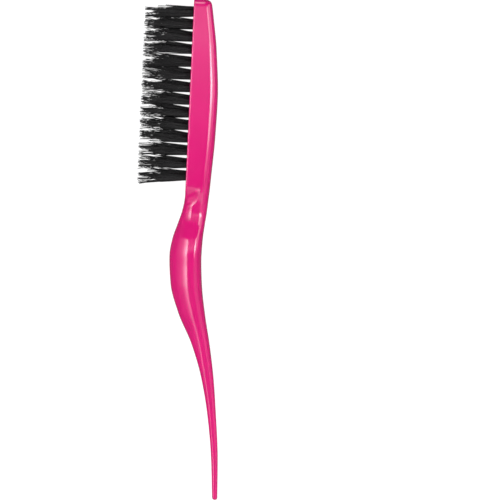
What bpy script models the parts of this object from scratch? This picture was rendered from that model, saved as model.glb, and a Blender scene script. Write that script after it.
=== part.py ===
"""Teasing brush with a rat-tail handle, modelled as separate solids, in metres with +Z up.

The brush lies on its side. +X runs from the end of the head to the tip of the tail, the bristles
point along -Y, and +Z is up through the side of the head. One moulded body carries 42 bristle
tufts, three rows of fourteen, each in its own blind socket.
"""

import math

import bmesh
import bpy
from mathutils import Matrix, Vector

MM = 0.001

# ---- Driving dimensions, in millimetres ------------------------------------------------------

BODY_LENGTH = 224.5
BRISTLE_LENGTH = 22.0  # from the bristle face to the tips of the long bristles
TAIL_RISE = 20.7  # from the bristle face to the highest point of the tail's back
WIDEST_HALF = 8.9  # half width of the palm bulge, the widest place on the brush

# The body's outline: distance from the head's end, bristle-side edge, back edge, half width.
# Both edges are heights over the plane of the bristle face, positive towards the back.
OUTLINE = (
    (0.0, 0.0, 7.7, 7.75),
    (10.0, 0.0, 9.3, 7.92),
    (22.0, 0.0, 10.95, 8.25),
    (45.0, 0.0, 12.5, 8.42),
    (62.0, 0.0, 12.15, 8.35),
    (80.0, 0.0, 11.1, 7.95),
    (86.0, -0.02, 10.75, 7.6),
    (90.0, -0.25, 10.45, 6.35),
    (95.5, -1.2, 10.0, 5.35),
    (101.0, -2.85, 9.35, 6.12),
    (108.0, -4.95, 8.7, 8.2),
    (115.0, -5.9, 8.5, WIDEST_HALF),
    (128.0, -4.85, 9.3, 8.17),
    (141.0, -0.8, 11.25, 6.85),
    (155.0, 5.9, 14.05, 5.0),
    (170.0, 10.95, 16.5, 3.28),
    (187.0, 14.55, 18.4, 1.98),
    (205.0, 16.95, 20.0, 1.34),
    (BODY_LENGTH, 18.4, TAIL_RISE, 1.12),
)

# Head section: a flat bristle face, flat drafted side walls, round shoulders and a crowned back.
DRAFT = 7.6  # degrees of the side walls, the same all along the head
EDGE_ROUND = 0.55  # reach of the rounding between bristle face and side wall
SHOULDER_R = 3.4
SHOULDER_DROP = 1.6  # the widest line lies this far below the back ...
SHOULDER_DROP_SHARE = 0.17  # ... and this share of the depth
SHOULDER_TURN = 72.0  # degrees of the shoulder's arc, up to where the crown of the back starts
FACE_END_START = 84.4  # the bristle face starts to narrow here
FACE_END = 91.2  # and closes here, in a rounded end
HOLLOW = 0.6  # how far the wall is scooped out where the face narrows
NECK_BLEND = (86.0, 93.5)  # the section turns from the head's shape into the handle's along here

# Handle section: distance, widest line as a share of the depth, roundness of front and of back.
# A roundness of 2 is an ellipse, and more is squarer.
HANDLE_SHAPE = (
    (0.0, 0.53, 2.35, 3.0),
    (94.0, 0.53, 2.35, 3.0),
    (100.0, 0.67, 2.2, 2.6),
    (109.0, 0.73, 2.0, 2.4),
    (118.0, 0.74, 2.0, 2.3),
    (148.0, 0.70, 2.0, 2.3),
    (171.0, 0.60, 2.9, 2.4),
    (198.0, 0.50, 2.3, 2.4),
    (BODY_LENGTH, 0.50, 2.3, 2.4),
)

# Points along each part of half a section, from the middle of the face to the middle of the back.
FLAT_POINTS = 3
EDGE_POINTS = 2
WALL_POINTS = 4
SHOULDER_POINTS = 5
CROWN_POINTS = 3

# Rounding at the two ends of the body.
END_CORNER_R = 3.6  # corners of the head's end, seen from the bristle side
END_BACK_R = 2.2
END_FACE_R = 0.5
TAIL_TIP_R = 1.1

# Tufts and their sockets.
ROWS = ("left", "middle", "right")
TUFTS_PER_ROW = 14
ROW_SPACING = 3.1
TUFT_PITCH = 5.69
OUTER_ROW_START = 6.4  # first tuft of an outer row, from the head's end
MIDDLE_ROW_START = 4.2
SOCKET_R = 1.25
SOCKET_DEPTH = 5.0
TUFT_FOOT_R = 0.95
TUFT_FOOT_DEPTH = 4.6
TUFT_WIDE_R = 1.65  # widest place, where the short bristles end
SHORT_BRISTLE_LENGTH = 12.2
TUFT_TIP_R = 1.45
TUFT_SIDES = 12

# ---- Frame -----------------------------------------------------------------------------------

FACE_Y = (BRISTLE_LENGTH - TAIL_RISE) / 2  # centres the whole brush on the origin in Y


def place(along, height, across):
    """World point, in metres, of a point given along the body, over the bristle face and across."""
    return Vector((along - BODY_LENGTH / 2, FACE_Y + height, WIDEST_HALF + across)) * MM


# ---- Small tools -----------------------------------------------------------------------------


def clean_scene():
    for obj in list(bpy.data.objects):
        bpy.data.objects.remove(obj, do_unlink=True)


def new_collection(name):
    collection = bpy.data.collections.new(name)
    bpy.context.scene.collection.children.link(collection)
    return collection


def plastic(name, colour, roughness):
    material = bpy.data.materials.new(name)
    material.use_nodes = True
    shader = material.node_tree.nodes["Principled BSDF"]
    shader.inputs["Base Color"].default_value = (*colour, 1.0)
    shader.inputs["Roughness"].default_value = roughness
    return material


def new_object(name, bm, collection, material=None):
    mesh = bpy.data.meshes.new(name)
    bm.to_mesh(mesh)
    bm.free()
    obj = bpy.data.objects.new(name, mesh)
    collection.objects.link(obj)
    if material:
        mesh.materials.append(material)
    return obj


def smooth_step(value, start, end):
    t = min(max((value - start) / (end - start), 0.0), 1.0)
    return t * t * (3 - 2 * t)


def bezier(points, t):
    a, b, c, d = points
    s = 1 - t
    return a * s**3 + b * 3 * s * s * t + c * 3 * s * t * t + d * t**3


# ---- Body ------------------------------------------------------------------------------------


def outline_slopes(column):
    """Slope at each station of one outline column, so that the curve never overshoots a station."""
    steps = list(zip(OUTLINE, OUTLINE[1:]))
    rates = [(b[column] - a[column]) / (b[0] - a[0]) for a, b in steps]
    slopes = [rates[0]]
    for before, after in zip(rates, rates[1:]):
        turns = before * after <= 0
        slopes.append(0.0 if turns else 2 * before * after / (before + after))
    slopes.append(rates[-1])
    return slopes


SLOPES = {column: outline_slopes(column) for column in (1, 2, 3)}


def outline(along, column):
    """Value of one outline column at a distance along the body."""
    index = max(i for i, row in enumerate(OUTLINE[:-1]) if row[0] <= along)
    start, end = OUTLINE[index], OUTLINE[index + 1]
    width = end[0] - start[0]
    third = width / 3
    control = (
        start[column],
        start[column] + SLOPES[column][index] * third,
        end[column] - SLOPES[column][index + 1] * third,
        end[column],
    )
    return bezier(control, (along - start[0]) / width)


def corner_loss(along, radius):
    """How far a quarter-round of this radius cuts back at a distance from the head's end."""
    if along >= radius:
        return 0.0
    return radius - math.sqrt(radius**2 - (radius - along) ** 2)


def head_section(front, back, half, along):
    """Half of the head's section, from the middle of the bristle face to the middle of the back."""
    drop = SHOULDER_DROP + SHOULDER_DROP_SHARE * (back - front)
    radius = min(SHOULDER_R, 0.9 * drop, 0.8 * half)
    centre = Vector((half - radius, back - drop))
    lean = math.radians(DRAFT)
    inset = radius - (radius - (centre.y - front) * math.sin(lean)) / math.cos(lean) + EDGE_ROUND
    closing = min(max((along - FACE_END_START) / (FACE_END - FACE_END_START), 0.0), 1.0)
    flat = (half - inset) * math.sqrt(1 - closing)
    corner = Vector((flat + EDGE_ROUND, front))
    reach = centre - corner
    draft = math.asin(radius / reach.length) + math.atan2(reach.x, reach.y)
    wall = Vector((math.sin(draft), math.cos(draft)))
    foot = corner + wall * EDGE_ROUND
    touch = corner + wall * math.sqrt(reach.length_squared - radius**2)
    start = Vector((flat, front))
    edge = (start, start.lerp(corner, 0.67), corner.lerp(foot, 0.33), foot)
    points = [Vector((flat * t / FLAT_POINTS, front)) for t in range(FLAT_POINTS)]
    points += [bezier(edge, t / EDGE_POINTS) for t in range(EDGE_POINTS)]
    for t in range(WALL_POINTS):
        climb = t / WALL_POINTS
        out = climb ** (1 + HOLLOW * closing)
        points.append(Vector((foot.x + (touch.x - foot.x) * out, foot.y + (touch.y - foot.y) * climb)))
    end = math.radians(SHOULDER_TURN)
    for t in range(SHOULDER_POINTS):
        angle = -draft + (end + draft) * t / SHOULDER_POINTS
        points.append(centre + Vector((math.cos(angle), math.sin(angle))) * radius)
    leave = centre + Vector((math.cos(end), math.sin(end))) * radius
    away = Vector((-math.sin(end), math.cos(end))) * leave.x * 0.4
    crown = (leave, leave + away, Vector((leave.x * 0.45, back)), Vector((0.0, back)))
    points += [bezier(crown, t / CROWN_POINTS) for t in range(CROWN_POINTS + 1)]
    return points


def handle_shape(along):
    """Share of the depth below the widest line, roundness of front and roundness of back."""
    index = max(i for i, row in enumerate(HANDLE_SHAPE[:-1]) if row[0] <= along)
    start, end = HANDLE_SHAPE[index], HANDLE_SHAPE[index + 1]
    t = (along - start[0]) / (end[0] - start[0])
    return [a + (b - a) * t for a, b in zip(start[1:], end[1:])]


def handle_section(front, back, half, along):
    """Half of the handle's section: two quarter ovals that meet on the widest line."""
    share, round_front, round_back = handle_shape(along)
    widest = front + (back - front) * share
    below = FLAT_POINTS + EDGE_POINTS + WALL_POINTS
    above = SHOULDER_POINTS + CROWN_POINTS
    points = []
    for t in range(below):
        angle = math.pi / 2 * t / below
        out = math.sin(angle) ** (2 / round_front)
        down = math.cos(angle) ** (2 / round_front)
        points.append(Vector((half * out, widest - (widest - front) * down)))
    for t in range(above + 1):
        angle = math.pi / 2 * t / above
        out = max(math.cos(angle), 0.0) ** (2 / round_back) if t < above else 0.0
        up = math.sin(angle) ** (2 / round_back)
        points.append(Vector((half * out, widest + (back - widest) * up)))
    return points


def body_section(along):
    """Closed section of the body: points across and over the bristle face, in order."""
    half = outline(along, 3) - corner_loss(along, END_CORNER_R)
    front = outline(along, 1) + corner_loss(along, END_FACE_R)
    back = outline(along, 2) - corner_loss(along, END_BACK_R)
    tip = max(along - (BODY_LENGTH - TAIL_TIP_R), 0.0) / TAIL_TIP_R
    shrink = math.sqrt(max(1 - tip**2, 0.04))
    centre = (front + back) / 2
    front = centre + (front - centre) * shrink
    back = centre + (back - centre) * shrink
    half = half * shrink
    blend = smooth_step(along, *NECK_BLEND)
    right = handle_section(front, back, half, along)
    if blend < 1:
        head = head_section(front, back, half, along)
        right = [a.lerp(b, blend) for a, b in zip(head, right)]
    left = [Vector((-p.x, p.y)) for p in right[-2:0:-1]]
    return right + left


def ring_positions():
    """Distances along the body where its section is drawn, closer together where it turns."""
    positions = {0.0, 0.1, 0.5, 1.1, 2.0, 3.6, 6.0}
    positions |= {row[0] for row in OUTLINE}
    positions |= {FACE_END_START + 0.85 * i for i in range(13)}
    positions |= {float(x) for x in range(14, 80, 8)}
    positions |= {float(x) for x in range(104, 216, 4)}
    positions |= {BODY_LENGTH - TAIL_TIP_R * x for x in (1.0, 0.5, 0.15)}
    return sorted(positions)


def build_body(collection, cutters, material):
    bm = bmesh.new()
    loops = []
    for along in ring_positions():
        ring = [bm.verts.new(place(along, p.y, p.x)) for p in body_section(along)]
        loops.append([bm.edges.new(pair) for pair in zip(ring, ring[1:] + ring[:1])])
    for first, second in zip(loops, loops[1:]):
        bmesh.ops.bridge_loops(bm, edges=first + second)
    for end in (loops[0], loops[-1]):
        bmesh.ops.contextual_create(bm, geom=end)
    bmesh.ops.recalc_face_normals(bm, faces=bm.faces)
    for face in bm.faces:
        face.smooth = True
    body = new_object("brush_body", bm, collection, material)
    sockets = body.modifiers.new("sockets", "BOOLEAN")
    sockets.operation = "DIFFERENCE"
    sockets.solver = "EXACT"
    sockets.object = build_socket_cutters(cutters)
    return body


# ---- Tufts and sockets -----------------------------------------------------------------------


def tuft_places():
    """Row name, number and distances along and across of every tuft."""
    for row_index, row in enumerate(ROWS):
        start = MIDDLE_ROW_START if row == "middle" else OUTER_ROW_START
        for number in range(TUFTS_PER_ROW):
            yield row, number + 1, start + number * TUFT_PITCH, (row_index - 1) * ROW_SPACING


def build_socket_cutters(collection):
    """One mesh of 42 pegs, which the body's Boolean cuts away."""
    bm = bmesh.new()
    overshoot = 2.0
    length = (SOCKET_DEPTH + overshoot) * MM
    for _, _, along, across in tuft_places():
        centre = place(along, SOCKET_DEPTH - (SOCKET_DEPTH + overshoot) / 2, across)
        bmesh.ops.create_cone(
            bm,
            cap_ends=True,
            segments=TUFT_SIDES,
            radius1=SOCKET_R * MM,
            radius2=SOCKET_R * MM,
            depth=length,
            matrix=Matrix.Translation(centre) @ Matrix.Rotation(math.radians(90), 4, "X"),
        )
    cutter = new_object("socket_cutters", bm, collection)
    cutter.hide_render = True
    cutter.display_type = "WIRE"
    return cutter


def build_tuft(name, along, across, collection, material):
    """A bundle of bristles as one turned solid: foot in the socket, widest at the short tips."""
    profile = (
        (0.0, TUFT_FOOT_DEPTH),
        (TUFT_FOOT_R, TUFT_FOOT_DEPTH),
        (TUFT_WIDE_R, -SHORT_BRISTLE_LENGTH),
        (TUFT_TIP_R, -BRISTLE_LENGTH),
        (0.0, -BRISTLE_LENGTH),
    )
    bm = bmesh.new()
    points = [bm.verts.new((radius * MM, height * MM, 0.0)) for radius, height in profile]
    for pair in zip(points, points[1:]):
        bm.edges.new(pair)
    tuft = new_object(name, bm, collection, material)
    tuft.location = place(along, 0.0, across)
    turn = tuft.modifiers.new("turn", "SCREW")
    turn.axis = "Y"
    turn.steps = TUFT_SIDES
    turn.render_steps = TUFT_SIDES
    turn.use_merge_vertices = True
    turn.merge_threshold = 0.00001
    turn.use_normal_calculate = True
    turn.use_smooth_shade = True
    return tuft


# ---- Assembly --------------------------------------------------------------------------------


def main():
    clean_scene()
    brush = new_collection("teasing_brush")
    cutters = new_collection("cutters")
    pink = plastic("glossy_pink_plastic", (0.76, 0.018, 0.165), 0.16)
    black = plastic("black_bristle", (0.012, 0.012, 0.013), 0.5)
    root = bpy.data.objects.new("brush", None)
    brush.objects.link(root)
    build_body(brush, cutters, pink).parent = root
    for row, number, along, across in tuft_places():
        name = f"tuft_{row}_{number:02d}"
        build_tuft(name, along, across, brush, black).parent = root


main()
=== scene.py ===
"""Teasing brush with a rat-tail handle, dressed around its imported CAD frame."""

import math
import random

import bmesh
import bpy
import numpy as np
from mathutils import Matrix, Vector


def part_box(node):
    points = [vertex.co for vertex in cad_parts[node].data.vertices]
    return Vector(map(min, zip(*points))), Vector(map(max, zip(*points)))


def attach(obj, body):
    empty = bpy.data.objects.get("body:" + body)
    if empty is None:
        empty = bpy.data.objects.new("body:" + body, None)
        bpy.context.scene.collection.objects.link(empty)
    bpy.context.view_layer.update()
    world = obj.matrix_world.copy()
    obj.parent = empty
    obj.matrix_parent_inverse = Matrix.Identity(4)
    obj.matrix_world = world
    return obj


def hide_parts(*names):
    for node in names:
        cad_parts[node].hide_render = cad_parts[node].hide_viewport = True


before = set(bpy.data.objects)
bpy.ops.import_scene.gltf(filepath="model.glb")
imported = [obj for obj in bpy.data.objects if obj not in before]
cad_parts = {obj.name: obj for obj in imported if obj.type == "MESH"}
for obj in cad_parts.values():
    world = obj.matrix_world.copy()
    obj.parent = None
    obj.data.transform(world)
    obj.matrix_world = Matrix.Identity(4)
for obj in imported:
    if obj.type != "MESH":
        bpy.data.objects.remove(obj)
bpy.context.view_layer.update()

# ---- Moulded body -----------------------------------------------------------------------------
# Head, palm bulge and rat tail are one injection moulding in opaque hot pink plastic, polished to
# a high gloss. The head's bristle face is flat and carries three rows of blind tuft sockets.

MM = 0.001
BODY_LENGTH = 224.5
BRISTLE_LENGTH = 22.0  # from the bristle face to the tips of the long bristles

# Distance from the head's end, bristle-side edge, back edge and half width, in millimetres.
OUTLINE = (
    (0.0, 0.0, 7.7, 7.75),
    (10.0, 0.0, 9.3, 7.92),
    (22.0, 0.0, 10.95, 8.25),
    (45.0, 0.0, 12.5, 8.42),
    (62.0, 0.0, 12.15, 8.35),
    (80.0, 0.0, 11.1, 7.95),
    (86.0, -0.02, 10.75, 7.6),
    (90.0, -0.25, 10.45, 6.35),
    (95.5, -1.2, 10.0, 5.35),
    (101.0, -2.85, 9.35, 6.12),
    (108.0, -4.95, 8.7, 8.2),
    (115.0, -5.9, 8.5, 8.9),
    (128.0, -4.85, 9.3, 8.17),
    (141.0, -0.8, 11.25, 6.85),
    (155.0, 5.9, 14.05, 5.0),
    (170.0, 10.95, 16.5, 3.28),
    (187.0, 14.55, 18.4, 1.98),
    (205.0, 16.95, 20.0, 1.34),
    (BODY_LENGTH, 18.4, 20.7, 1.12),
)
SMOOTHING = 1.2  # reach of the smoothing along the body
DRAFT = 7.6  # degrees of the side walls, the same all along the head
EDGE_ROUND = 0.55
SHOULDER_R = 3.4
SHOULDER_DROP = (1.6, 0.17)  # widest line below the back: a length and a share of the depth
SHOULDER_TURN = 72.0  # degrees of the shoulder's arc, up to where the crown of the back starts
# Handle section: distance, widest line as a share of the depth, roundness of front and of back.
SHAPE = (
    (0.0, 0.53, 2.35, 3.0),
    (94.0, 0.53, 2.35, 3.0),
    (100.0, 0.67, 2.2, 2.6),
    (109.0, 0.73, 2.0, 2.4),
    (118.0, 0.74, 2.0, 2.3),
    (148.0, 0.70, 2.0, 2.3),
    (171.0, 0.60, 2.9, 2.4),
    (198.0, 0.50, 2.3, 2.4),
    (BODY_LENGTH, 0.50, 2.3, 2.4),
)
FACE_END_START = 84.4
FACE_END = 91.2
NECK_BLEND = (86.0, 93.5)
HOLLOW = 0.6  # how far the wall is scooped out where the face narrows
END_CORNER_R = 3.6
END_BACK_R = 2.2
END_FACE_R = 0.5
TAIL_TIP_R = 1.1
RING_STEP = 0.7
FLAT_POINTS, EDGE_POINTS, WALL_POINTS, SHOULDER_POINTS, CROWN_POINTS = 5, 6, 9, 20, 14

body_low, body_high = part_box("brush_body")
tuft_low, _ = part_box("tuft_middle_01")
mid_plane = (body_low.z + body_high.z) / 2
face_y = tuft_low.y + BRISTLE_LENGTH * MM


def place(along, height, across):
    """World point of a point along the body, over the bristle face and across, in millimetres."""
    return Vector((body_low.x + along * MM, face_y + height * MM, mid_plane + across * MM))


def outline_curves():
    """The three outline columns, sampled finely along the body and smoothed."""
    stations = np.array(OUTLINE)
    step = 0.25
    along = np.arange(0.0, BODY_LENGTH + step / 2, step)
    pad = round(5 * SMOOTHING / step)
    weights = np.exp(-0.5 * (np.arange(-pad, pad + 1) * step / SMOOTHING) ** 2)
    weights /= weights.sum()
    columns = []
    for column in (1, 2, 3):
        rates = np.diff(stations[:, column]) / np.diff(stations[:, 0])
        product = rates[:-1] * rates[1:]
        total = rates[:-1] + rates[1:]
        inner = np.where(product > 0, 2 * product / np.where(total == 0, 1, total), 0.0)
        slopes = np.concatenate([rates[:1], inner, rates[-1:]])
        index = np.searchsorted(stations[:, 0], along, side="right") - 1
        index = np.clip(index, 0, len(stations) - 2)
        width = np.diff(stations[:, 0])[index]
        t = (along - stations[index, 0]) / width
        start, end = stations[index, column], stations[index + 1, column]
        curve = (
            start * (2 * t**3 - 3 * t**2 + 1)
            + slopes[index] * width * (t**3 - 2 * t**2 + t)
            + end * (3 * t**2 - 2 * t**3)
            + slopes[index + 1] * width * (t**3 - t**2)
        )

        def smoothed(values):
            before = 2 * values[0] - values[pad:0:-1]
            after = 2 * values[-1] - values[-2 : -pad - 2 : -1]
            return np.convolve(np.concatenate([before, values, after]), weights, "valid")

        soft = smoothed(curve)
        columns.append(soft + smoothed(curve - soft))
    return along, columns


ALONG, COLUMNS = outline_curves()


def smooth_step(value, start, end):
    t = min(max((value - start) / (end - start), 0.0), 1.0)
    return t * t * (3 - 2 * t)


def bezier(points, count):
    """Points of a cubic Bezier curve, without its end."""
    t = (np.arange(count) / count)[:, None]
    a, b, c, d = (np.array(p, float) for p in points)
    return a * (1 - t) ** 3 + 3 * b * (1 - t) ** 2 * t + 3 * c * (1 - t) * t**2 + d * t**3


def head_section(front, back, half, along):
    """Half of the head's section: flat face, rounded edge, drafted wall, round shoulder, crown."""
    drop = SHOULDER_DROP[0] + SHOULDER_DROP[1] * (back - front)
    radius = min(SHOULDER_R, 0.9 * drop, 0.8 * half)
    centre = np.array((half - radius, back - drop))
    lean = math.radians(DRAFT)
    inset = radius - (radius - (centre[1] - front) * math.sin(lean)) / math.cos(lean) + EDGE_ROUND
    closing = min(max((along - FACE_END_START) / (FACE_END - FACE_END_START), 0.0), 1.0)
    flat = (half - inset) * math.sqrt(1 - closing)
    start = np.array((flat, front))
    corner = np.array((flat + EDGE_ROUND, front))
    reach = centre - corner
    distance = np.linalg.norm(reach)
    draft = math.asin(radius / distance) + math.atan2(reach[0], reach[1])
    wall = np.array((math.sin(draft), math.cos(draft)))
    foot = corner + wall * EDGE_ROUND
    touch = corner + wall * math.sqrt(distance**2 - radius**2)
    edge = (start, start + (corner - start) * 0.67, corner + (foot - corner) * 0.33, foot)
    turn = np.linspace(-draft, math.radians(SHOULDER_TURN), SHOULDER_POINTS, endpoint=False)
    shoulder = centre + radius * np.stack([np.cos(turn), np.sin(turn)], 1)
    end = math.radians(SHOULDER_TURN)
    leave = centre + radius * np.array((math.cos(end), math.sin(end)))
    away = np.array((-math.sin(end), math.cos(end))) * leave[0] * 0.4
    crown = (leave, leave + away, (leave[0] * 0.45, back), (0.0, back))
    face = np.stack([flat * np.arange(FLAT_POINTS) / FLAT_POINTS, np.full(FLAT_POINTS, front)], 1)
    climb = np.arange(WALL_POINTS) / WALL_POINTS
    hollow = climb ** (1 + HOLLOW * closing)
    straight = foot + (touch - foot) * np.stack([hollow, climb], 1)
    top = np.concatenate([bezier(crown, CROWN_POINTS), [(0.0, back)]])
    return np.concatenate([face, bezier(edge, EDGE_POINTS), straight, shoulder, top])


def handle_section(front, back, half, along):
    """Half of the handle's section: two quarter ovals that meet on the widest line."""
    shape = np.array(SHAPE)
    share, round_front, round_back = (np.interp(along, shape[:, 0], shape[:, i]) for i in (1, 2, 3))
    below = FLAT_POINTS + EDGE_POINTS + WALL_POINTS
    above = SHOULDER_POINTS + CROWN_POINTS + 1
    widest = front + (back - front) * share
    turn = np.linspace(0, math.pi / 2, below, endpoint=False)
    lower = np.stack(
        [
            half * np.sin(turn) ** (2 / round_front),
            widest - (widest - front) * np.cos(turn).clip(0) ** (2 / round_front),
        ],
        1,
    )
    turn = np.linspace(0, math.pi / 2, above)
    upper = np.stack(
        [
            half * np.cos(turn).clip(0) ** (2 / round_back),
            widest + (back - widest) * np.sin(turn) ** (2 / round_back),
        ],
        1,
    )
    return np.concatenate([lower, upper])


def corner_loss(along, radius):
    return radius - math.sqrt(radius**2 - (radius - along) ** 2) if along < radius else 0.0


def body_ring(along):
    """World points of one closed section ring."""
    front, back, half = (np.interp(along, ALONG, column) for column in COLUMNS)
    front += corner_loss(along, END_FACE_R)
    back -= corner_loss(along, END_BACK_R)
    half -= corner_loss(along, END_CORNER_R)
    tip = corner_loss(BODY_LENGTH - along, TAIL_TIP_R)
    front, back, half = front + tip, back - tip, max(half - tip, 0.02)
    blend = smooth_step(along, *NECK_BLEND)
    points = handle_section(front, back, half, along)
    if blend < 1:
        points = head_section(front, back, half, along) * (1 - blend) + points * blend
    ring = np.concatenate([points, points[-2:0:-1] * (-1, 1)])
    return [place(along, height, across) for across, height in ring]


def ring_places():
    """Distances of the rings from the head's end, closer together at the rounded ends."""
    turn = np.linspace(0, math.pi / 2, 12)
    start = END_CORNER_R * (1 - np.cos(turn))
    end = BODY_LENGTH - TAIL_TIP_R * (1 - np.cos(turn[::-1]))
    count = round((end[0] - start[-1]) / RING_STEP)
    middle = np.linspace(start[-1], end[0], count, endpoint=False)[1:]
    return np.concatenate([start, middle, end])


def new_piece(name, mesh):
    piece = bpy.data.objects.new(name, mesh)
    bpy.context.scene.collection.objects.link(piece)
    return piece


ROWS = {"left": (6.4, -3.1), "middle": (4.2, 0.0), "right": (6.4, 3.1)}  # first tuft, across
TUFT_PITCH = 5.69
TUFTS_PER_ROW = 14
SOCKET_R = 1.22
SOCKET_DEPTH = 5.0
COUNTERSINK = 0.12


def tuft_places():
    """Name, distance from the head's end and place across of every tuft."""
    for row, (start, across) in ROWS.items():
        for number in range(TUFTS_PER_ROW):
            yield f"{row}_{number + 1:02d}", start + number * TUFT_PITCH, across


def socket_cutter():
    """All the blind sockets as one mesh of separate turned plugs."""
    bm = bmesh.new()
    profile = (
        (-0.3, SOCKET_R + COUNTERSINK + 0.3),
        (COUNTERSINK, SOCKET_R),
        (SOCKET_DEPTH - 0.5, SOCKET_R),
        (SOCKET_DEPTH, 0.35),
    )
    sides = 24
    for _, along, across in tuft_places():
        rings = []
        for depth, radius in profile:
            turns = [2 * math.pi * i / sides for i in range(sides)]
            points = [
                (along + radius * math.cos(a), depth, across + radius * math.sin(a)) for a in turns
            ]
            rings.append([bm.verts.new(place(*p)) for p in points])
        for low, high in zip(rings, rings[1:]):
            for i in range(sides):
                j = (i + 1) % sides
                bm.faces.new((low[i], low[j], high[j], high[i]))
        bm.faces.new(reversed(rings[0]))
        bm.faces.new(rings[-1])
    bmesh.ops.recalc_face_normals(bm, faces=bm.faces)
    mesh = bpy.data.meshes.new("socket_plugs")
    bm.to_mesh(mesh)
    bm.free()
    return new_piece("socket_plugs", mesh)


def build_body():
    bm = bmesh.new()
    rings = [[bm.verts.new(p) for p in body_ring(along)] for along in ring_places()]
    for low, high in zip(rings, rings[1:]):
        for i in range(len(low)):
            j = (i + 1) % len(low)
            bm.faces.new((low[i], high[i], high[j], low[j]))
    for ring, along in ((rings[0], 0.0), (rings[-1], BODY_LENGTH)):
        centre = bm.verts.new(sum((v.co for v in ring), Vector()) / len(ring))
        for i in range(len(ring)):
            bm.faces.new((ring[i], ring[(i + 1) % len(ring)], centre))
    bmesh.ops.recalc_face_normals(bm, faces=bm.faces)
    mesh = bpy.data.meshes.new("moulded_body")
    bm.to_mesh(mesh)
    bm.free()
    body = new_piece("moulded_body", mesh)
    cutter = socket_cutter()
    cut = body.modifiers.new("sockets", "BOOLEAN")
    cut.operation, cut.solver, cut.object = "DIFFERENCE", "EXACT", cutter
    evaluated = body.evaluated_get(bpy.context.evaluated_depsgraph_get())
    finished = bpy.data.meshes.new_from_object(evaluated)
    body.modifiers.clear()
    body.data = finished
    bpy.data.objects.remove(cutter)
    finished.shade_smooth()
    finished.set_sharp_from_angle(angle=math.radians(38))
    return body


def add_node(tree, kind, values=None, **settings):
    """A node of the tree, with its inputs linked to sockets or set to plain values."""
    node = tree.nodes.new(kind)
    for key, value in settings.items():
        setattr(node, key, value)
    for key, value in (values or {}).items():
        if isinstance(value, bpy.types.NodeSocket):
            tree.links.new(value, node.inputs[key])
        else:
            node.inputs[key].default_value = value
    return node


def new_material(name):
    material = bpy.data.materials.new(name)
    material.use_nodes = True
    tree = material.node_tree
    return material, tree, tree.nodes["Principled BSDF"]


def hot_pink_plastic():
    """Polished opaque plastic: a faint cloudiness in the pigment, and a skin that isn't quite flat."""
    material, tree, shader = new_material("hot_pink_plastic")
    place_on = add_node(tree, "ShaderNodeTexCoord").outputs["Object"]
    cloud = add_node(tree, "ShaderNodeTexNoise", {"Vector": place_on, "Scale": 42.0, "Detail": 3.0})
    tint = add_node(tree, "ShaderNodeValToRGB", {"Fac": cloud.outputs["Fac"]})
    tint.color_ramp.elements[0].position = 0.3
    tint.color_ramp.elements[0].color = (0.540, 0.0029, 0.131, 1)
    tint.color_ramp.elements[1].position = 0.7
    tint.color_ramp.elements[1].color = (0.570, 0.0039, 0.142, 1)
    tree.links.new(tint.outputs["Color"], shader.inputs["Base Color"])
    smudge = add_node(tree, "ShaderNodeTexNoise", {"Vector": place_on, "Scale": 160.0, "Detail": 4.0})
    rough = add_node(
        tree,
        "ShaderNodeMapRange",
        {
            "Value": smudge.outputs["Fac"],
            "From Min": 0.35,
            "From Max": 0.7,
            "To Min": 0.10,
            "To Max": 0.145,
        },
    )
    tree.links.new(rough.outputs["Result"], shader.inputs["Roughness"])
    skin = add_node(tree, "ShaderNodeTexNoise", {"Vector": place_on, "Scale": 520.0, "Detail": 2.0})
    stretch = add_node(tree, "ShaderNodeMapping", {"Vector": place_on, "Scale": (60.0, 2600.0, 2600.0)})
    rubs = add_node(tree, "ShaderNodeTexNoise", {"Vector": stretch.outputs["Vector"], "Scale": 1.0})
    wave = add_node(
        tree, "ShaderNodeBump", {"Height": skin.outputs["Fac"], "Distance": 0.00002, "Strength": 0.25}
    )
    scratch = add_node(
        tree,
        "ShaderNodeBump",
        {
            "Height": rubs.outputs["Fac"],
            "Normal": wave.outputs["Normal"],
            "Distance": 0.000004,
            "Strength": 0.2,
        },
    )
    tree.links.new(scratch.outputs["Normal"], shader.inputs["Normal"])
    shader.inputs["IOR"].default_value = 1.59
    return material


moulded_body = build_body()
moulded_body.data.materials.clear()
moulded_body.data.materials.append(hot_pink_plastic())
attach(moulded_body, "root")
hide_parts("brush_body")

# ---- Bristle tufts ----------------------------------------------------------------------------
# Forty-two bundles of black nylon and boar filaments, cut to three lengths. Each is folded in
# half, driven into its socket and fans out from the mouth of it.

FILAMENT_R = 0.135
FOOT_DEPTH = 4.5
FOOT_R = 0.8
MOUTH_R = 1.06
# Distance from the head's end, and the slope at which a tuft there leans towards that end.
TUFT_LEAN = (
    (4.0, -0.085),
    (7.0, -0.02),
    (11.0, 0.035),
    (16.0, 0.046),
    (68.0, 0.046),
    (74.0, 0.016),
    (81.0, -0.045),
)
FILAMENT_SIDES, FILAMENT_POINTS = 5, 8


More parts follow.
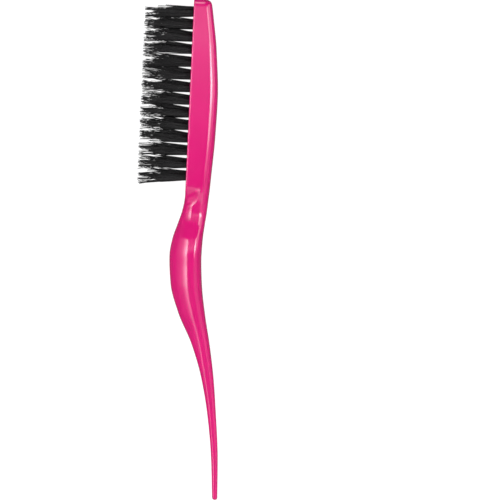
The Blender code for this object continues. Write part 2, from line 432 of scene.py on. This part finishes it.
def black_filament():
    """Black filament: a satin skin, each filament a slightly different grey."""
    material, tree, shader = new_material("black_filament")
    place_on = add_node(tree, "ShaderNodeTexCoord").outputs["Object"]
    tone = add_node(tree, "ShaderNodeAttribute", attribute_name="tone").outputs["Fac"]
    along = add_node(tree, "ShaderNodeTexNoise", {"Vector": place_on, "Scale": 700.0, "Detail": 2.0})
    mixed = add_node(
        tree, "ShaderNodeMath", {0: along.outputs["Fac"], 1: 0.4, 2: tone}, operation="MULTIPLY_ADD"
    )
    tint = add_node(tree, "ShaderNodeValToRGB", {"Fac": mixed.outputs[0]})
    tint.color_ramp.elements[0].position = 0.1
    tint.color_ramp.elements[0].color = (0.0034, 0.0034, 0.0039, 1)
    tint.color_ramp.elements[1].position = 1.2
    tint.color_ramp.elements[1].color = (0.0135, 0.0130, 0.0138, 1)
    tree.links.new(tint.outputs["Color"], shader.inputs["Base Color"])
    rough = add_node(
        tree, "ShaderNodeMapRange", {"Value": along.outputs["Fac"], "To Min": 0.34, "To Max": 0.52}
    )
    tree.links.new(rough.outputs["Result"], shader.inputs["Roughness"])
    shader.inputs["Specular IOR Level"].default_value = 0.36
    return material


def new_tree(name, inputs):
    """A geometry node tree with these named inputs, and its input and output nodes."""
    tree = bpy.data.node_groups.new(name, "GeometryNodeTree")
    for label, kind in inputs:
        tree.interface.new_socket(label, in_out="INPUT", socket_type="NodeSocket" + kind)
    tree.interface.new_socket("Geometry", in_out="OUTPUT", socket_type="NodeSocketGeometry")
    return tree, tree.nodes.new("NodeGroupInput").outputs, tree.nodes.new("NodeGroupOutput").inputs


def number(tree, operation, *values):
    return add_node(tree, "ShaderNodeMath", dict(enumerate(values)), operation=operation).outputs[0]


def vector(tree, operation, *values):
    return add_node(tree, "ShaderNodeVectorMath", dict(enumerate(values)), operation=operation).outputs[0]


def scaled(tree, value, factor):
    node = add_node(tree, "ShaderNodeVectorMath", {0: value, "Scale": factor}, operation="SCALE")
    return node.outputs[0]


def chance(tree, low, high, seed, offset, group=None):
    """A random number for each point, or for each group, different for each seed and offset."""
    seeds = number(tree, "ADD", seed, float(offset))
    values = {"Seed": seeds} if group is None else {"Seed": seeds, "ID": group}
    node = add_node(tree, "FunctionNodeRandomValue", values, data_type="FLOAT")
    node.inputs[2].default_value, node.inputs[3].default_value = low, high
    return node.outputs[1]


def flat_vector(tree, x, z):
    return add_node(tree, "ShaderNodeCombineXYZ", {"X": x, "Z": z}).outputs[0]


SHARED_INPUTS = [
    ("Mouth", "Vector"),
    ("Splay", "Float"),
    ("Lean", "Float"),
    ("Stray", "Float"),
    ("Bow", "Float"),
    ("Locks", "Int"),
    ("Foot Depth", "Float"),
    ("Foot Radius", "Float"),
    ("Mouth Radius", "Float"),
    ("Thickness", "Float"),
    ("Seed", "Int"),
]


def filament_tree():
    """Filaments of one length: they stand in the socket, and spread from its mouth along -Y."""
    inputs = [("Count", "Int"), ("Reach", "Float"), ("Unevenness", "Float"), ("Gather", "Float")]
    inputs += SHARED_INPUTS
    tree, given, result = new_tree("filaments", inputs)
    seed = given["Seed"]
    around = chance(tree, 0.0, 2 * math.pi, seed, 1)
    out = number(tree, "SQRT", chance(tree, 0.0, 1.0, seed, 2))
    disk = flat_vector(
        tree,
        number(tree, "MULTIPLY", out, number(tree, "COSINE", around)),
        number(tree, "MULTIPLY", out, number(tree, "SINE", around)),
    )
    stray = scaled(
        tree,
        flat_vector(tree, chance(tree, -1.0, 1.0, seed, 3), chance(tree, -1.0, 1.0, seed, 4)),
        given["Stray"],
    )
    lean = flat_vector(tree, number(tree, "MULTIPLY", given["Lean"], -1.0), 0.0)
    slope = vector(tree, "ADD", vector(tree, "ADD", scaled(tree, disk, given["Splay"]), stray), lean)
    bow = scaled(
        tree,
        flat_vector(tree, chance(tree, -1.0, 1.0, seed, 5), chance(tree, -1.0, 1.0, seed, 6)),
        given["Bow"],
    )
    uneven = number(tree, "MULTIPLY", chance(tree, -1.0, 1.0, seed, 7), given["Unevenness"])
    drawn = number(tree, "MULTIPLY", chance(tree, 0.0, 1.0, seed, 9), given["Locks"])
    lock = number(tree, "FLOOR", drawn)
    lock_around = chance(tree, 0.0, 2 * math.pi, seed, 21, lock)
    lock_out = number(tree, "SQRT", chance(tree, 0.0, 1.0, seed, 22, lock))
    lock_disk = flat_vector(
        tree,
        number(tree, "MULTIPLY", lock_out, number(tree, "COSINE", lock_around)),
        number(tree, "MULTIPLY", lock_out, number(tree, "SINE", lock_around)),
    )
    pull = scaled(tree, vector(tree, "SUBTRACT", lock_disk, disk), given["Gather"])
    kept = {
        "disk": (disk, "FLOAT_VECTOR"),
        "pull": (pull, "FLOAT_VECTOR"),
        "slope": (slope, "FLOAT_VECTOR"),
        "bow": (bow, "FLOAT_VECTOR"),
        "reach": (number(tree, "ADD", given["Reach"], uneven), "FLOAT"),
        "tone": (chance(tree, 0.0, 1.0, seed, 8), "FLOAT"),
    }
    flow = add_node(tree, "GeometryNodePoints", {"Count": given["Count"]}).outputs[0]
    for name, (value, kind) in kept.items():
        store = add_node(
            tree,
            "GeometryNodeStoreNamedAttribute",
            {"Geometry": flow, "Name": name},
            data_type=kind,
            domain="POINT",
        )
        tree.links.new(value, next(s for s in store.inputs if s.name == "Value" and s.enabled))
        flow = store.outputs[0]

    def stored(name):
        node = add_node(
            tree, "GeometryNodeInputNamedAttribute", {"Name": name}, data_type=kept[name][1]
        )
        return next(s for s in node.outputs if s.name == "Attribute" and s.enabled)

    line = add_node(tree, "GeometryNodeCurvePrimitiveLine", {"End": (0.0, -1.0, 0.0)})
    points = add_node(
        tree, "GeometryNodeResampleCurve", {"Curve": line.outputs[0], "Count": FILAMENT_POINTS}
    )
    each = add_node(
        tree, "GeometryNodeInstanceOnPoints", {"Points": flow, "Instance": points.outputs[0]}
    )
    curves = add_node(tree, "GeometryNodeRealizeInstances", {"Geometry": each.outputs[0]})
    share = add_node(tree, "GeometryNodeSplineParameter").outputs["Factor"]
    depth, reach = given["Foot Depth"], stored("reach")
    climbed = number(tree, "MULTIPLY", share, number(tree, "ADD", reach, depth))
    height = number(tree, "SUBTRACT", climbed, depth)
    outside = number(tree, "MAXIMUM", height, 0.0)
    rise = number(tree, "MINIMUM", number(tree, "DIVIDE", number(tree, "ADD", height, depth), depth), 1.0)
    widening = number(tree, "SUBTRACT", given["Mouth Radius"], given["Foot Radius"])
    bundle_r = number(tree, "MULTIPLY_ADD", rise, widening, given["Foot Radius"])
    bent = number(tree, "POWER", number(tree, "DIVIDE", outside, reach), 2.0)
    spot = vector(tree, "ADD", given["Mouth"], scaled(tree, stored("disk"), bundle_r))
    spot = vector(tree, "ADD", spot, scaled(tree, stored("slope"), outside))
    spread = number(tree, "MULTIPLY_ADD", outside, given["Splay"], given["Mouth Radius"])
    gathered = number(tree, "MULTIPLY", number(tree, "DIVIDE", outside, reach), spread)
    spot = vector(tree, "ADD", spot, scaled(tree, stored("pull"), gathered))
    spot = vector(tree, "ADD", spot, scaled(tree, stored("bow"), bent))
    drop = add_node(tree, "ShaderNodeCombineXYZ", {"Y": number(tree, "MULTIPLY", height, -1.0)})
    spot = vector(tree, "ADD", spot, drop.outputs[0])
    bend = add_node(
        tree, "GeometryNodeSetPosition", {"Geometry": curves.outputs[0], "Position": spot}
    )
    taper = add_node(
        tree,
        "ShaderNodeMapRange",
        {"Value": share, "From Min": 0.7, "From Max": 1.0, "To Min": 1.0, "To Max": 0.65},
        interpolation_type="SMOOTHSTEP",
    )
    ring = add_node(
        tree,
        "GeometryNodeCurvePrimitiveCircle",
        {"Resolution": FILAMENT_SIDES, "Radius": given["Thickness"]},
    )
    skin = add_node(
        tree,
        "GeometryNodeCurveToMesh",
        {
            "Curve": bend.outputs[0],
            "Profile Curve": ring.outputs[0],
            "Scale": taper.outputs["Result"],
            "Fill Caps": True,
        },
    )
    tree.links.new(skin.outputs[0], result[0])
    return tree


BUNDLES = (  # name, reach in mm, unevenness in mm, how far the tips gather into locks
    ("Short", 12.2, 0.9, 0.2),
    ("Middle", 17.0, 1.6, 0.6),
    ("Long", 21.3, 0.9, 0.92),
)


def tuft_tree():
    """One tuft: three bundles of filaments, joined."""
    bundle = filament_tree()
    inputs = [(bundle_row[0] + " Count", "Int") for bundle_row in BUNDLES]
    inputs += SHARED_INPUTS + [("Finish", "Material")]
    tree, given, result = new_tree("bristle_tuft", inputs)
    joined = tree.nodes.new("GeometryNodeJoinGeometry")
    for order, (name, reach, uneven, gather) in enumerate(BUNDLES):
        group = tree.nodes.new("GeometryNodeGroup")
        group.node_tree = bundle
        for label, _ in SHARED_INPUTS[:-1]:
            tree.links.new(given[label], group.inputs[label])
        tree.links.new(given[name + " Count"], group.inputs["Count"])
        tree.links.new(number(tree, "ADD", given["Seed"], 100.0 * order), group.inputs["Seed"])
        group.inputs["Reach"].default_value = reach * MM
        group.inputs["Unevenness"].default_value = uneven * MM
        group.inputs["Gather"].default_value = gather
        tree.links.new(group.outputs[0], joined.inputs[0])
    realized = add_node(tree, "GeometryNodeRealizeInstances", {"Geometry": joined.outputs[0]})
    finished = add_node(
        tree, "GeometryNodeSetMaterial", {"Geometry": realized.outputs[0], "Material": given["Finish"]}
    )
    tree.links.new(finished.outputs[0], result[0])
    return tree


def grow(name, tree, values, base=None):
    """A plain mesh piece made by the tree with these inputs."""
    piece = new_piece(name, base or bpy.data.meshes.new(name))
    modifier = piece.modifiers.new(tree.name, "NODES")
    modifier.node_group = tree
    for item in tree.interface.items_tree:
        if item.in_out == "INPUT" and item.name in values:
            modifier[item.identifier] = values[item.name]
    evaluated = piece.evaluated_get(bpy.context.evaluated_depsgraph_get())
    mesh = bpy.data.meshes.new_from_object(evaluated)
    piece.modifiers.clear()
    piece.data = mesh
    mesh.name = name
    mesh.shade_smooth()
    return piece


filament_finish = black_filament()
tuft_maker = tuft_tree()
chances = random.Random(11)
for order, (spot, along, across) in enumerate(tuft_places()):
    lean = float(np.interp(along, *zip(*TUFT_LEAN)))
    values = {
        "Short Count": 40,
        "Middle Count": 14,
        "Long Count": 18,
        "Mouth": place(along, 0.0, across),
        "Splay": 0.095 + chances.uniform(-0.01, 0.014),
        "Lean": lean + chances.uniform(-0.01, 0.01),
        "Stray": 0.012,
        "Bow": 0.4 * MM,
        "Locks": 5,
        "Foot Depth": FOOT_DEPTH * MM,
        "Foot Radius": FOOT_R * MM,
        "Mouth Radius": MOUTH_R * MM,
        "Thickness": FILAMENT_R * MM,
        "Seed": 7 * order,
        "Finish": filament_finish,
    }
    bristles = grow(f"bristles_{spot}", tuft_maker, values)
    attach(bristles, "root")
    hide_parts(f"tuft_{spot}")

# ---- Tuft anchors -----------------------------------------------------------------------------
# A short piece of flat brass wire lies across the fold of each tuft at the bottom of its socket.
# It is a little longer than the socket is wide, and bites into the plastic to hold the tuft.

ANCHOR_SIZE = (0.28, 0.9, 2.4)
ANCHOR_DEPTH = 4.4
ANCHOR_TURN = 38.0
WIRE_GRAIN = (9000.0, 9000.0, 700.0)  # the drawing lines run along the wire


def brass_wire():
    """Drawn brass wire: bright, with fine drawing lines along it."""
    material, tree, shader = new_material("drawn_brass_wire")
    place_on = add_node(tree, "ShaderNodeTexCoord").outputs["Object"]
    stretch = add_node(tree, "ShaderNodeMapping", {"Vector": place_on, "Scale": WIRE_GRAIN})
    lines = add_node(tree, "ShaderNodeTexNoise", {"Vector": stretch.outputs["Vector"], "Scale": 1.0})
    tint = add_node(tree, "ShaderNodeValToRGB", {"Fac": lines.outputs["Fac"]})
    tint.color_ramp.elements[0].color = (0.6, 0.39, 0.14, 1)
    tint.color_ramp.elements[1].color = (0.78, 0.56, 0.25, 1)
    tree.links.new(tint.outputs["Color"], shader.inputs["Base Color"])
    rough = add_node(
        tree, "ShaderNodeMapRange", {"Value": lines.outputs["Fac"], "To Min": 0.2, "To Max": 0.38}
    )
    tree.links.new(rough.outputs["Result"], shader.inputs["Roughness"])
    shader.inputs["Metallic"].default_value = 1.0
    return material


def anchor_tree():
    """A flat wire on every point of the base mesh, one to each socket."""
    inputs = [("Geometry", "Geometry"), ("Size", "Vector"), ("Turn", "Float"), ("Finish", "Material")]
    tree, given, result = new_tree("flat_wire_anchors", inputs)
    wire = add_node(tree, "GeometryNodeMeshCube", {"Size": given["Size"]})
    spin = add_node(tree, "FunctionNodeAxisAngleToRotation", {"Axis": (0, 1, 0), "Angle": given["Turn"]})
    each = add_node(
        tree,
        "GeometryNodeInstanceOnPoints",
        {"Points": given["Geometry"], "Instance": wire.outputs[0], "Rotation": spin.outputs[0]},
    )
    real = add_node(tree, "GeometryNodeRealizeInstances", {"Geometry": each.outputs[0]})
    finished = add_node(
        tree, "GeometryNodeSetMaterial", {"Geometry": real.outputs[0], "Material": given["Finish"]}
    )
    tree.links.new(finished.outputs[0], result[0])
    return tree


socket_floors = bpy.data.meshes.new("socket_floors")
spots = [place(along, ANCHOR_DEPTH, across) for _, along, across in tuft_places()]
socket_floors.from_pydata(spots, [], [])
tuft_anchors = grow(
    "tuft_anchors",
    anchor_tree(),
    {
        "Size": Vector(ANCHOR_SIZE) * MM,
        "Turn": math.radians(ANCHOR_TURN),
        "Finish": brass_wire(),
    },
    socket_floors,
)
tuft_anchors.data.set_sharp_from_angle(angle=math.radians(30))
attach(tuft_anchors, "root")

# ---- Studio -----------------------------------------------------------------------------------
# The brush lies on its side on a plain white table, between two long softboxes. The camera looks
# straight down through the gap between them, so the gap shows as a dark band in the gloss. Weaker
# panels stand past the head's end and past the tail, and fills that the gloss doesn't show.

TABLE_SIZE = 6.0
TABLE_GLOW, TABLE_SHADED = 0.985, 0.1  # what the camera sees of the table
TABLE_WHITE, TABLE_IN_GLOSS = 0.42, 0.1  # what it returns to the brush, and to its gloss
ROOM_LEVEL = 0.12

bpy.context.scene.view_settings.view_transform = "Standard"


def white_table():
    """White to the eye with a faint shadow, and dim to the plastic that mirrors it."""
    material = bpy.data.materials.new("white_table")
    material.use_nodes = True
    tree = material.node_tree
    tree.nodes.clear()
    glow = add_node(tree, "ShaderNodeEmission", {"Color": (1, 1, 1, 1), "Strength": TABLE_GLOW})
    shaded = add_node(tree, "ShaderNodeBsdfDiffuse", {"Color": (TABLE_SHADED,) * 3 + (1,)})
    seen = add_node(tree, "ShaderNodeAddShader", {0: glow.outputs[0], 1: shaded.outputs[0]})
    ray = add_node(tree, "ShaderNodeLightPath").outputs
    level = add_node(
        tree,
        "ShaderNodeMapRange",
        {"Value": ray["Is Glossy Ray"], "To Min": TABLE_WHITE, "To Max": TABLE_IN_GLOSS},
    )
    bounced = add_node(tree, "ShaderNodeBsdfDiffuse", {"Color": level.outputs["Result"]})
    mix = add_node(
        tree,
        "ShaderNodeMixShader",
        {"Fac": ray["Is Camera Ray"], 1: bounced.outputs[0], 2: seen.outputs[0]},
    )
    add_node(tree, "ShaderNodeOutputMaterial", {"Surface": mix.outputs[0]})
    return material


bm = bmesh.new()
bmesh.ops.create_grid(bm, x_segments=1, y_segments=1, size=TABLE_SIZE)
table_mesh = bpy.data.meshes.new("table")
bm.to_mesh(table_mesh)
bm.free()
table_mesh.materials.append(white_table())
new_piece("table", table_mesh)

world = bpy.data.worlds.new("studio")
bpy.context.scene.world = world
world.use_nodes = True
tree = world.node_tree
tree.nodes.clear()
room = add_node(tree, "ShaderNodeBackground", {"Color": (1, 1, 1, 1), "Strength": ROOM_LEVEL})
backdrop = add_node(tree, "ShaderNodeBackground", {"Color": (1, 1, 1, 1), "Strength": 1.0})
eye = add_node(tree, "ShaderNodeLightPath").outputs["Is Camera Ray"]
mix = add_node(tree, "ShaderNodeMixShader", {"Fac": eye, 1: room.outputs[0], 2: backdrop.outputs[0]})
add_node(tree, "ShaderNodeOutputWorld", {"Surface": mix.outputs[0]})


PANEL_DISTANCE = 1.1
PANEL_POWER = 4.0  # watts a square metre, at a brightness of 1


def upright_angle(degrees):
    """The point at this angle from straight above the brush, at the panels' distance."""
    angle = math.radians(degrees)
    return Vector((0, math.sin(angle), math.cos(angle))) * PANEL_DISTANCE


def stop_strength(tree, value, stops):
    """The level of (place, level) stops at a value."""
    first, last, peak = stops[0][0], stops[-1][0], max(stop[1] for stop in stops)
    share = add_node(
        tree, "ShaderNodeMapRange", {"Value": value, "From Min": first, "From Max": last}
    )
    ramp = add_node(tree, "ShaderNodeValToRGB", {"Fac": share.outputs["Result"]})
    elements = ramp.color_ramp.elements
    elements.remove(elements[1])
    for order, (place_at, level) in enumerate(stops):
        share_at = (place_at - first) / (last - first)
        stop = elements[0] if order == 0 else elements.new(share_at)
        stop.position = share_at
        stop.color = (level / peak, level / peak, level / peak, 1)
    return number(tree, "MULTIPLY", ramp.outputs["Color"], peak)


def softbox(name, across, along, facing=0.0, glossy=True, diffuse=True):
    """A panel above the brush, bright as its stops say and as large as they reach.

    across holds (degrees from straight above, brightness) stops, and along holds (place along the
    table, share of it) stops. facing turns the whole panel about the upright axis.
    """
    edges = upright_angle(across[0][0]), upright_angle(across[-1][0])
    low, high = along[0][0], along[-1][0]
    width, depth = high - low, (edges[1] - edges[0]).length
    light = bpy.data.lights.new(name, "AREA")
    light.shape, light.size, light.size_y = "RECTANGLE", width, depth
    light.energy = width * depth * PANEL_POWER
    light.use_nodes = True
    tree = light.node_tree
    position = add_node(tree, "ShaderNodeNewGeometry").outputs["Position"]
    turned = add_node(tree, "ShaderNodeVectorRotate", {"Vector": position}, rotation_type="Z_AXIS")
    turned.inputs["Angle"].default_value = -math.radians(facing)
    spot = add_node(tree, "ShaderNodeSeparateXYZ", {"Vector": turned.outputs[0]})
    angle = number(tree, "DEGREES", number(tree, "ARCTAN2", spot.outputs["Y"], spot.outputs["Z"]))
    strengths = [
        stop_strength(tree, angle, across),
        stop_strength(tree, spot.outputs["X"], along),
    ]
    emission = next(node for node in tree.nodes if node.type == "EMISSION")
    tree.links.new(number(tree, "MULTIPLY", *strengths), emission.inputs["Strength"])
    middle = (edges[0] + edges[1]) / 2
    away = middle.normalized()
    side = away.cross(Vector((1, 0, 0)))
    turn = Matrix(((1, 0, 0), side, away)).transposed().to_4x4()
    around = Matrix.Rotation(math.radians(facing), 4, "Z")
    centre = Matrix.Translation(middle + Vector(((low + high) / 2, 0, 0)))
    lamp = bpy.data.objects.new(name, light)
    lamp.matrix_world = around @ centre @ turn
    lamp.visible_camera = False
    lamp.visible_glossy, lamp.visible_diffuse = glossy, diffuse
    bpy.context.scene.collection.objects.link(lamp)


softbox(
    "softbox_bristle_side",
    ((-80, 0.05), (-66, 0.35), (-55, 0.7), (-45, 1.4), (-36, 3.8), (-30, 7.5), (-24, 7.5)),
    (
        (-0.36, 0.5),
        (-0.28, 0.9),
        (-0.2, 1.0),
        (-0.04, 1.0),
        (0.06, 0.5),
        (0.1, 0.34),
        (0.14, 0.7),
        (0.22, 0.8),
        (0.26, 0.32),
        (0.41, 0.32),
        (0.5, 0.15),
        (0.6, 0.12),
    ),
)
softbox(
    "spill_between_the_softboxes",
    ((-23, 1.0), (18, 1.0)),
    (
        (-0.45, 0.3),
        (-0.27, 0.5),
        (-0.23, 1.1),
        (-0.2, 1.1),
        (-0.17, 0.74),
        (-0.14, 0.42),
        (-0.1, 0.2),
        (-0.07, 0.05),
        (0.05, 0.0),
    ),
    diffuse=False,
)
softbox(
    "softbox_back_side",
    ((18, 18.0), (38, 18.0), (52, 2.5)),
    (
        (-0.42, 0.22),
        (-0.25, 0.26),
        (-0.21, 0.62),
        (-0.19, 0.75),
        (-0.15, 0.6),
        (-0.1, 0.4),
        (-0.06, 0.2),
        (0.0, 0.09),
        (0.02, 0.0),
    ),
)
softbox(
    "low_back_side",
    ((52, 0.8), (89, 0.8)),
    ((-0.8, 2.4), (-0.17, 2.2), (-0.1, 1.5), (-0.067, 0.75), (-0.03, 0.5), (0.8, 0.4)),
)
softbox(
    "soft_tail_side",
    ((14, 0.5), (24, 1.0), (52, 1.0)),
    ((0.0, 0.6), (0.03, 0.25), (0.06, 0.2), (0.085, 0.28), (0.12, 0.6), (0.8, 0.6)),
)
softbox(
    "head_end_panel",
    ((-74, 1.2), (-69, 3.0), (-63, 4.4), (-57, 3.8), (-52, 2.2), (-46, 1.1), (-42, 0.3)),
    ((0.0, 0.1), (0.1, 0.8), (0.3, 1.0), (0.4, 0.8), (0.5, 0.1)),
    facing=-90.0,
    diffuse=False,
)
softbox(
    "tail_end_panel",
    ((-86, 0.6), (-50, 0.8), (-30, 1.0), (-28, 0.8)),
    ((-0.6, 1.0), (0.6, 1.0)),
    facing=90.0,
    diffuse=False,
)
for name, across, along in (
    ("fill_bristle_side", ((-88, 1.9), (-58, 1.9)), ((-0.8, 1.0), (0.8, 1.0))),
    ("fill_back_side", ((58, 0.5), (88, 0.5)), ((-0.8, 1.0), (0.8, 1.0))),
    ("fill_above_tail", ((-30, 1.45), (30, 1.45)), ((0.1, 1.0), (0.8, 1.0))),
):
    softbox(name, across, along, glossy=False)

CAMERA_ROLL = 2.663  # degrees, so that the brush stands a little askew in the picture
CAMERA_PLACE = (-0.00081, 0.03084, mid_plane + 1.25)
camera_data = bpy.data.cameras.new("camera")
camera_data.lens, camera_data.sensor_width = 200.0, 36.0
camera_data.clip_start, camera_data.clip_end = 0.05, 30.0
camera = bpy.data.objects.new("camera", camera_data)
bpy.context.scene.collection.objects.link(camera)
roll = math.radians(CAMERA_ROLL)
right = Vector((-math.sin(roll), math.cos(roll), 0.0))
up = Vector((-math.cos(roll), -math.sin(roll), 0.0))
view = Matrix((right, up, right.cross(up))).transposed().to_4x4()
camera.matrix_world = Matrix.Translation(CAMERA_PLACE) @ view
bpy.context.scene.camera = camera
